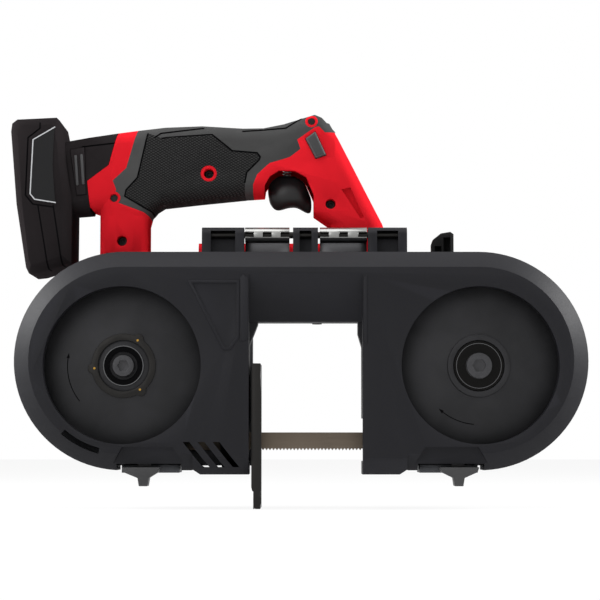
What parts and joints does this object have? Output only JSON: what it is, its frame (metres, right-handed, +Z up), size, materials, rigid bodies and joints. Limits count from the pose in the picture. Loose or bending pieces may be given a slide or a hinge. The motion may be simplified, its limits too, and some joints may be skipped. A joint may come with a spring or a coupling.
{
  "type": "portable band saw",
  "caption": "Hand-held battery band saw with a hinged wheel guard, twisted blade in an open throat, D handle with trigger and slide-in battery pack.",
  "frame": {"origin": "under the middle of the tool's box, at the lower end of the work shoe", "axes": "+X from the battery end to the tension lever end, +Y from the guard's face to the motor, +Z up"},
  "size_m": [0.3551, 0.12, 0.246],
  "materials": {
    "guard_black": "textured black moulding",
    "red_shell": "satin red moulding",
    "grip_rubber": "black overmoulded rubber",
    "trigger_black": "polished black",
    "button_grey": "dark grey",
    "battery_black": "black moulding",
    "label_dark": "bare label panel",
    "frame_cast": "grey cast aluminium",
    "wheel_black": "black coated wheel",
    "tyre_rubber": "black tyre",
    "steel": "plain steel",
    "hinge_steel": "bright plated steel",
    "black_oxide": "black oxide",
    "blade_steel": "tempered blade steel",
    "gear_steel": "cut gear steel",
    "copper": "wound copper and laminations",
    "board_green": "circuit board",
    "cell_wrap": "cell sleeve"
  },
  "bodies": {
    "frame": {"main_frame": "frame_cast", "gear_case": "frame_cast", "frame_screws": "black_oxide", "ball_bearings": "steel", "motor_housing": "battery_black", "motor_end_cap": "battery_black", "motor_stator": "copper", "handle_shell_near": "red_shell", "handle_shell_far": "red_shell", "handle_post_near": "red_shell", "handle_post_far": "red_shell", "grip_near": "grip_rubber", "grip_far": "grip_rubber", "handle_screws": "black_oxide", "trigger_switch": "battery_black", "battery_terminals": "battery_black", "control_board": "board_green", "hinge_leaf": "hinge_steel", "hinge_pin": "steel", "blade": "blade_steel", "guide_block_left": "black_oxide", "guide_block_right": "black_oxide", "work_shoe": "black_oxide", "carriage_rails": "steel", "tension_spring": "steel", "trigger_spring": "steel", "led_lamp": "battery_black"},
    "guard_door": {"guard_door": "guard_black"},
    "latch_left": {"guard_latch_left": "button_grey"},
    "latch_right": {"guard_latch_right": "button_grey"},
    "drive": {"drive_wheel": "wheel_black", "drive_tyre": "tyre_rubber", "drive_spindle": "steel", "output_gear": "gear_steel", "drive_bolt": "black_oxide", "drive_hub_clip": "black_oxide"},
    "countershaft": {"counter_shaft": "gear_steel", "counter_gear": "gear_steel"},
    "rotor": {"motor_rotor": "copper", "motor_shaft": "gear_steel", "motor_fan": "battery_black"},
    "carriage": {"idler_carriage": "steel", "idler_axle": "steel", "idler_bolt": "black_oxide"},
    "idler": {"idler_wheel": "wheel_black", "idler_tyre": "tyre_rubber", "idler_bearing": "steel"},
    "lever": {"tension_lever": "trigger_black"},
    "trigger": {"trigger": "trigger_black"},
    "lock_button": {"lock_button": "button_grey"},
    "battery": {"battery_case": "battery_black", "battery_stem": "battery_black", "battery_cells": "cell_wrap", "battery_label": "label_dark"},
    "battery_latch_near": {"battery_latch_near": "battery_black"},
    "battery_latch_far": {"battery_latch_far": "battery_black"},
    "roller_left_upper": {"roller_left_upper": "steel"},
    "roller_left_lower": {"roller_left_lower": "steel"},
    "roller_right_upper": {"roller_right_upper": "steel"},
    "roller_right_lower": {"roller_right_lower": "steel"}
  },
  "joints": [
    {"name": "guard_hinge", "type": "hinge", "parent": "frame", "child": "guard_door", "pos_m": [0.006, -0.026, 0.1675], "axis": [-1, 0, 0], "range_deg": [0, 100]},
    {"name": "latch_left_slide", "type": "slide", "parent": "guard_door", "child": "latch_left", "axis": [1, 0, 0], "range_m": [0, 0.012]},
    {"name": "latch_right_slide", "type": "slide", "parent": "guard_door", "child": "latch_right", "axis": [-1, 0, 0], "range_m": [0, 0.012]},
    {"name": "drive_spin", "type": "hinge", "parent": "frame", "child": "drive", "pos_m": [-0.1035, -0.038, 0.086], "axis": [0, 1, 0], "continuous": true},
    {"name": "counter_spin", "type": "hinge", "parent": "frame", "child": "countershaft", "pos_m": [-0.07531, 0, 0.09626], "axis": [0, 1, 0], "continuous": true},
    {"name": "rotor_spin", "type": "hinge", "parent": "frame", "child": "rotor", "pos_m": [-0.05501, 0.03, 0.10365], "axis": [0, 1, 0], "continuous": true},
    {"name": "tension_lever_turn", "type": "hinge", "parent": "frame", "child": "lever", "pos_m": [0.093, 0, 0.125], "axis": [0, 1, 0], "range_deg": [0, 180]},
    {"name": "tension_slide", "type": "slide", "parent": "frame", "child": "carriage", "axis": [-1, 0, 0], "range_m": [0, 0.006], "deforming": ["tension_spring"]},
    {"name": "idler_spin", "type": "hinge", "parent": "carriage", "child": "idler", "pos_m": [0.1115, -0.038, 0.086], "axis": [0, 1, 0], "continuous": true},
    {"name": "trigger_pull", "type": "slide", "parent": "frame", "child": "trigger", "axis": [0, 0, 1], "range_m": [0, 0.006], "stiffness_N_per_m": 350, "springref_m": -0.003, "deforming": ["trigger_spring"]},
    {"name": "lock_slide", "type": "slide", "parent": "frame", "child": "lock_button", "axis": [0, 1, 0], "range_m": [0, 0.004]},
    {"name": "battery_slide", "type": "slide", "parent": "frame", "child": "battery", "axis": [-0.9957, 0, -0.0924], "range_m": [0, 0.08]},
    {"name": "battery_latch_near_press", "type": "slide", "parent": "battery", "child": "battery_latch_near", "axis": [0, 1, 0], "range_m": [0, 0.0025], "stiffness_N_per_m": 600, "springref_m": -0.002},
    {"name": "battery_latch_far_press", "type": "slide", "parent": "battery", "child": "battery_latch_far", "axis": [0, -1, 0], "range_m": [0, 0.0025], "stiffness_N_per_m": 600, "springref_m": -0.002},
    {"name": "roller_left_upper_spin", "type": "hinge", "parent": "frame", "child": "roller_left_upper", "pos_m": [-0.038, -0.04347, 0.04409], "axis": [0, 0.5592, 0.829], "continuous": true},
    {"name": "roller_left_lower_spin", "type": "hinge", "parent": "frame", "child": "roller_left_lower", "pos_m": [-0.038, -0.03253, 0.03671], "axis": [0, 0.5592, 0.829], "continuous": true},
    {"name": "roller_right_upper_spin", "type": "hinge", "parent": "frame", "child": "roller_right_upper", "pos_m": [0.0515, -0.04347, 0.04409], "axis": [0, 0.5592, 0.829], "continuous": true},
    {"name": "roller_right_lower_spin", "type": "hinge", "parent": "frame", "child": "roller_right_lower", "pos_m": [0.0515, -0.03253, 0.03671], "axis": [0, 0.5592, 0.829], "continuous": true}
  ],
  "couplings": [
    {"joint": "counter_spin", "follows": "drive_spin", "ratio": -4},
    {"joint": "rotor_spin", "follows": "drive_spin", "ratio": 20},
    {"joint": "idler_spin", "follows": "drive_spin", "ratio": 1},
    {"joint": "tension_lever_turn", "follows": "tension_slide", "rad_per_m": 523.59},
    {"joint": "roller_left_upper_spin", "follows": "drive_spin", "ratio": 7.6},
    {"joint": "roller_left_lower_spin", "follows": "drive_spin", "ratio": -7.6},
    {"joint": "roller_right_upper_spin", "follows": "drive_spin", "ratio": 7.6},
    {"joint": "roller_right_lower_spin", "follows": "drive_spin", "ratio": -7.6}
  ]
}
